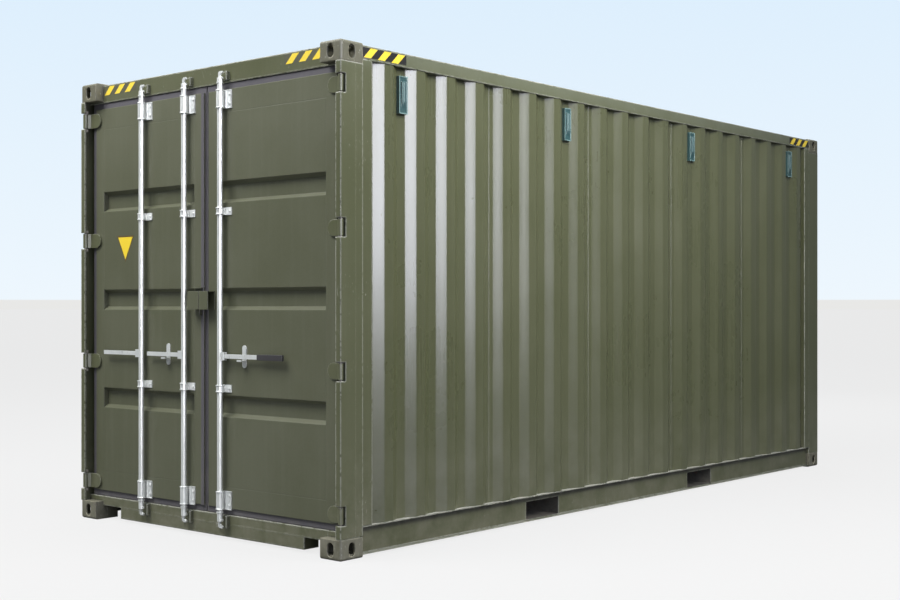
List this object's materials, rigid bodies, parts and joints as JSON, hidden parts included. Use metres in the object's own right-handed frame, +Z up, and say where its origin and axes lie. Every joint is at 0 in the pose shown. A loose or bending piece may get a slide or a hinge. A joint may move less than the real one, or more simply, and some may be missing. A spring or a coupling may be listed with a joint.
{
  "type": "shipping container",
  "caption": "Steel dry-freight shipping container, high cube, with corrugated walls, corner castings, fork pockets and hinged end doors held by locking bars.",
  "frame": {"origin": "middle of the footprint, on the plane the four bottom corner castings stand on", "axes": "+Z up; the doors face -Y; +X is to the right of someone who faces the doors; the length runs along Y"},
  "size_m": [2.438, 6.058, 2.896],
  "materials": {
    "frame_paint": "semi-gloss olive marine paint, chalked and scuffed",
    "casting_paint": "olive paint worn to bare and rusty steel at the edges",
    "wall_paint": "semi-gloss olive paint on folded sheet",
    "roof_paint": "olive paint, dusty and scratched",
    "under_paint": "dark underbody wax over primer, rust in the tunnels",
    "plywood": "sealed plywood boards",
    "vent_plastic": "weathered blue-green plastic",
    "keeper_paint": "olive paint, chipped",
    "pin_steel": "bare steel with light rust",
    "door_paint": "semi-gloss olive paint, streaked",
    "hinge_paint": "olive paint over forged steel, chipped at the edges",
    "gasket_rubber": "dull weathered rubber",
    "galvanised_steel": "hot-dip galvanised, dulled",
    "grip_rubber": "smooth black rubber"
  },
  "bodies": {
    "frame": {"door_post_left": "frame_paint", "door_post_right": "frame_paint", "front_post_left": "frame_paint", "front_post_right": "frame_paint", "door_header": "frame_paint", "door_sill": "frame_paint", "front_top_rail": "frame_paint", "front_bottom_rail": "frame_paint", "top_side_rail_left": "frame_paint", "top_side_rail_right": "frame_paint", "bottom_side_rail_left": "frame_paint", "bottom_side_rail_right": "frame_paint", "corner_castings_bottom": "casting_paint", "corner_castings_top": "casting_paint", "side_wall_left": "wall_paint", "side_wall_right": "wall_paint", "front_wall": "wall_paint", "roof_panel": "roof_paint", "cross_members": "under_paint", "fork_pockets": "under_paint", "floor_boards": "plywood", "vents_left": "vent_plastic", "vents_right": "vent_plastic", "cam_keepers": "keeper_paint", "hinge_pins": "pin_steel"},
    "door_left": {"door_left_frame": "door_paint", "door_left_panel": "door_paint", "door_left_gasket": "gasket_rubber", "door_left_hinges": "hinge_paint", "door_left_bar_brackets": "galvanised_steel", "door_left_handle_catch": "galvanised_steel", "lock_staple": "door_paint"},
    "door_right": {"door_right_frame": "door_paint", "door_right_panel": "door_paint", "door_right_gasket": "gasket_rubber", "door_right_hinges": "hinge_paint", "door_right_bar_brackets": "galvanised_steel", "door_right_handle_catch": "galvanised_steel", "lock_box": "door_paint"},
    "bar_outer": {"locking_bar_outer": "galvanised_steel"},
    "bar_inner": {"locking_bar_inner": "galvanised_steel"},
    "bar_right": {"locking_bar_right": "galvanised_steel"},
    "lever_outer": {"handle_outer": "galvanised_steel"},
    "lever_inner": {"handle_inner": "galvanised_steel"},
    "lever_right": {"handle_right": "galvanised_steel", "handle_grip": "grip_rubber"}
  },
  "joints": [
    {"name": "door_left_swing", "type": "hinge", "parent": "frame", "child": "door_left", "pos_m": [-1.199, -3.009, 0], "axis": [0, 0, -1], "range_deg": [0, 260]},
    {"name": "door_right_swing", "type": "hinge", "parent": "frame", "child": "door_right", "pos_m": [1.199, -3.009, 0], "axis": [0, 0, 1], "range_deg": [0, 260]},
    {"name": "bar_outer_turn", "type": "hinge", "parent": "door_left", "child": "bar_outer", "pos_m": [-0.6, -3.003, 0], "axis": [0, 0, -1], "range_deg": [-90, 0]},
    {"name": "bar_inner_turn", "type": "hinge", "parent": "door_left", "child": "bar_inner", "pos_m": [-0.171, -3.003, 0], "axis": [0, 0, -1], "range_deg": [-90, 0]},
    {"name": "bar_right_turn", "type": "hinge", "parent": "door_right", "child": "bar_right", "pos_m": [0.171, -3.003, 0], "axis": [0, 0, 1], "range_deg": [-90, 0]},
    {"name": "lever_outer_lift", "type": "hinge", "parent": "bar_outer", "child": "lever_outer", "pos_m": [-0.634, -3.003, 1.113], "axis": [0, 1, 0], "range_deg": [0, 25]},
    {"name": "lever_inner_lift", "type": "hinge", "parent": "bar_inner", "child": "lever_inner", "pos_m": [-0.205, -3.003, 1.113], "axis": [0, 1, 0], "range_deg": [0, 25]},
    {"name": "lever_right_lift", "type": "hinge", "parent": "bar_right", "child": "lever_right", "pos_m": [0.205, -3.003, 1.113], "axis": [0, -1, 0], "range_deg": [0, 25]}
  ]
}
